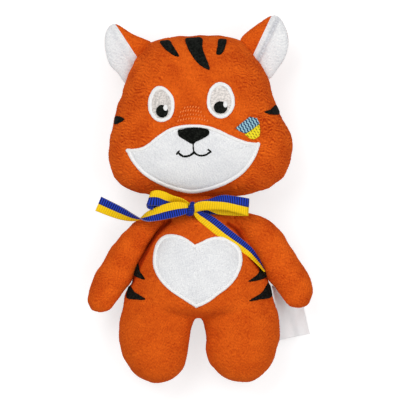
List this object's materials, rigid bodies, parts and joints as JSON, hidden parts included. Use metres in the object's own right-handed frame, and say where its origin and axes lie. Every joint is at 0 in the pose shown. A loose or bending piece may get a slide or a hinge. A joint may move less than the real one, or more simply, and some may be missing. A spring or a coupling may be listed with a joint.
{
  "type": "plush tiger",
  "caption": "Stuffed plush tiger lying on its back, with jointed head, arms, legs and ears, a heart patch and a ribbon bow.",
  "frame": {"origin": "middle of the outline's box, on the surface that the toy lies on", "axes": "+Z out of the toy's front, +Y towards the top of its head, +X towards the toy's own left side"},
  "size_m": [0.149, 0.2455, 0.0645],
  "materials": {
    "orange_plush": "short-pile orange plush, matt with a soft sheen",
    "white_plush": "short-pile white plush, matt",
    "stuffing": "white polyester fibre",
    "black_thread": "black satin-stitch embroidery",
    "white_thread": "white satin-stitch embroidery",
    "blue_thread": "light blue and dark satin stitches",
    "yellow_thread": "yellow satin stitches",
    "ribbon": "two-colour ribbed ribbon, half blue and half yellow",
    "label_satin": "white satin tab, bare"
  },
  "bodies": {
    "torso": {"body_front_panel": "orange_plush", "body_back_panel": "orange_plush", "body_stuffing": "stuffing", "heart_border": "white_thread", "heart_patch": "white_plush", "body_stripe_right_upper": "black_thread", "body_stripe_right_lower": "black_thread", "body_stripe_left_upper": "black_thread", "body_stripe_left_lower": "black_thread", "neck_ribbon": "ribbon", "bow_knot": "ribbon", "bow_loop_left": "ribbon", "bow_loop_right": "ribbon"},
    "head": {"head_front_panel": "orange_plush", "head_back_panel": "orange_plush", "head_stuffing": "stuffing", "muzzle_border": "white_thread", "muzzle_patch": "white_plush", "nose": "black_thread", "mouth": "black_thread", "right_eye_white": "white_thread", "right_eye_pupil": "black_thread", "right_eye_highlight": "white_thread", "left_eye_white": "white_thread", "left_eye_pupil": "black_thread", "left_eye_highlight": "white_thread", "cheek_patch_upper": "blue_thread", "cheek_patch_lower": "yellow_thread", "forehead_stripe_right": "black_thread", "forehead_stripe_middle": "black_thread", "forehead_stripe_left": "black_thread", "head_side_stripe_right": "black_thread", "head_side_stripe_left": "black_thread"},
    "right_arm": {"right_arm_front_panel": "orange_plush", "right_arm_back_panel": "orange_plush", "right_arm_stuffing": "stuffing"},
    "left_arm": {"left_arm_front_panel": "orange_plush", "left_arm_back_panel": "orange_plush", "left_arm_stuffing": "stuffing"},
    "right_leg": {"right_leg_front_panel": "orange_plush", "right_leg_back_panel": "orange_plush", "right_leg_stuffing": "stuffing"},
    "left_leg": {"left_leg_front_panel": "orange_plush", "left_leg_back_panel": "orange_plush", "left_leg_stuffing": "stuffing"},
    "right_ear": {"right_ear_front_panel": "white_plush", "right_ear_back_panel": "orange_plush"},
    "left_ear": {"left_ear_front_panel": "white_plush", "left_ear_back_panel": "orange_plush"},
    "right_tail": {"ribbon_tail_right": "ribbon"},
    "left_tail": {"ribbon_tail_left": "ribbon"},
    "label": {"care_label": "label_satin"}
  },
  "joints": [
    {"name": "head_nod", "type": "hinge", "parent": "torso", "child": "head", "pos_m": [0, -0.0123, 0.026], "axis": [1, 0, 0], "range_deg": [-8, 8], "stiffness_Nm_per_rad": 0.2},
    {"name": "right_arm_swing", "type": "hinge", "parent": "torso", "child": "right_arm", "pos_m": [-0.036, -0.027, 0.0275], "axis": [-1, 0, 0], "range_deg": [-5, 90], "stiffness_Nm_per_rad": 0.02},
    {"name": "left_arm_swing", "type": "hinge", "parent": "torso", "child": "left_arm", "pos_m": [0.036, -0.027, 0.0275], "axis": [-1, 0, 0], "range_deg": [-5, 90], "stiffness_Nm_per_rad": 0.02},
    {"name": "right_hip_bend", "type": "hinge", "parent": "torso", "child": "right_leg", "pos_m": [-0.026, -0.0842, 0.0245], "axis": [-1, 0, 0], "range_deg": [-6, 25], "stiffness_Nm_per_rad": 0.08},
    {"name": "left_hip_bend", "type": "hinge", "parent": "torso", "child": "left_leg", "pos_m": [0.026, -0.0842, 0.0245], "axis": [-1, 0, 0], "range_deg": [-6, 25], "stiffness_Nm_per_rad": 0.08},
    {"name": "right_ear_fold", "type": "hinge", "parent": "head", "child": "right_ear", "pos_m": [-0.04105, 0.09387, 0.028], "axis": [0.5643, 0.8256, 0], "range_deg": [-30, 40], "stiffness_Nm_per_rad": 0.01},
    {"name": "left_ear_fold", "type": "hinge", "parent": "head", "child": "left_ear", "pos_m": [0.03631, 0.09468, 0.028], "axis": [0.6048, -0.7964, 0], "range_deg": [-30, 40], "stiffness_Nm_per_rad": 0.01},
    {"name": "right_tail_lift", "type": "hinge", "parent": "torso", "child": "right_tail", "pos_m": [-0.0098, -0.006, 0.044], "axis": [0, 1, 0], "range_deg": [-2, 12]},
    {"name": "left_tail_lift", "type": "hinge", "parent": "torso", "child": "left_tail", "pos_m": [-0.003, -0.0085, 0.044], "axis": [-0.6606, -0.7507, 0], "range_deg": [0, 20]},
    {"name": "label_flap", "type": "hinge", "parent": "torso", "child": "label", "pos_m": [0.0482, -0.0575, 0.026], "axis": [0.214, -0.9768, 0], "range_deg": [-5, 7]}
  ]
}
